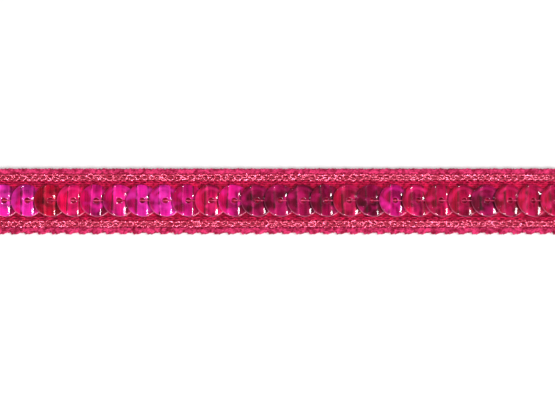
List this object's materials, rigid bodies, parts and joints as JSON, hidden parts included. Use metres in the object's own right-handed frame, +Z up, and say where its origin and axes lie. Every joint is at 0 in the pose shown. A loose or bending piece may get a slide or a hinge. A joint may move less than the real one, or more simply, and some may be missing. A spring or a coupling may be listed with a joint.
{
  "type": "sequin trim",
  "caption": "Straight length of narrow braid trim: round film sequins lapped in a row on a tight thread, tied to a knitted band between looped yarn borders.",
  "frame": {"origin": "on the flat back face, under the middle of the braid's length and width", "axes": "+X along the braid, towards the end that the sequins' covered right wings point to; +Y across it; +Z up from the back, towards the sequins"},
  "size_m": [0.1124, 0.012, 0.0014],
  "materials": {
    "sequin_film": "clear fuchsia film with a faint violet sheen, glossy, paler at its cut edges",
    "sequin_thread": "plied thread, slight sheen",
    "ground_yarn": "knitted yarn, matt",
    "metal_yarn": "yarn wrapped with a narrow pink metallised strip, sparkling",
    "edge_yarn": "soft looped yarn, matt"
  },
  "bodies": {
    "root": {"sequin_01": "sequin_film", "sequin_02": "sequin_film", "sequin_03": "sequin_film", "sequin_04": "sequin_film", "sequin_05": "sequin_film", "sequin_06": "sequin_film", "sequin_07": "sequin_film", "sequin_08": "sequin_film", "sequin_09": "sequin_film", "sequin_10": "sequin_film", "sequin_11": "sequin_film", "sequin_12": "sequin_film", "sequin_13": "sequin_film", "sequin_14": "sequin_film", "sequin_15": "sequin_film", "sequin_16": "sequin_film", "sequin_17": "sequin_film", "sequin_18": "sequin_film", "sequin_19": "sequin_film", "sequin_20": "sequin_film", "sequin_21": "sequin_film", "sequin_22": "sequin_film", "sequin_23": "sequin_film", "sequin_24": "sequin_film", "sequin_25": "sequin_film", "sequin_26": "sequin_film", "sequin_string": "sequin_thread", "string_ties": "ground_yarn", "ground_band": "ground_yarn", "inner_chain_near": "ground_yarn", "metal_chain_near": "metal_yarn", "edge_loops_near": "edge_yarn", "inner_chain_far": "ground_yarn", "metal_chain_far": "metal_yarn", "edge_loops_far": "edge_yarn"}
  },
  "joints": []
}
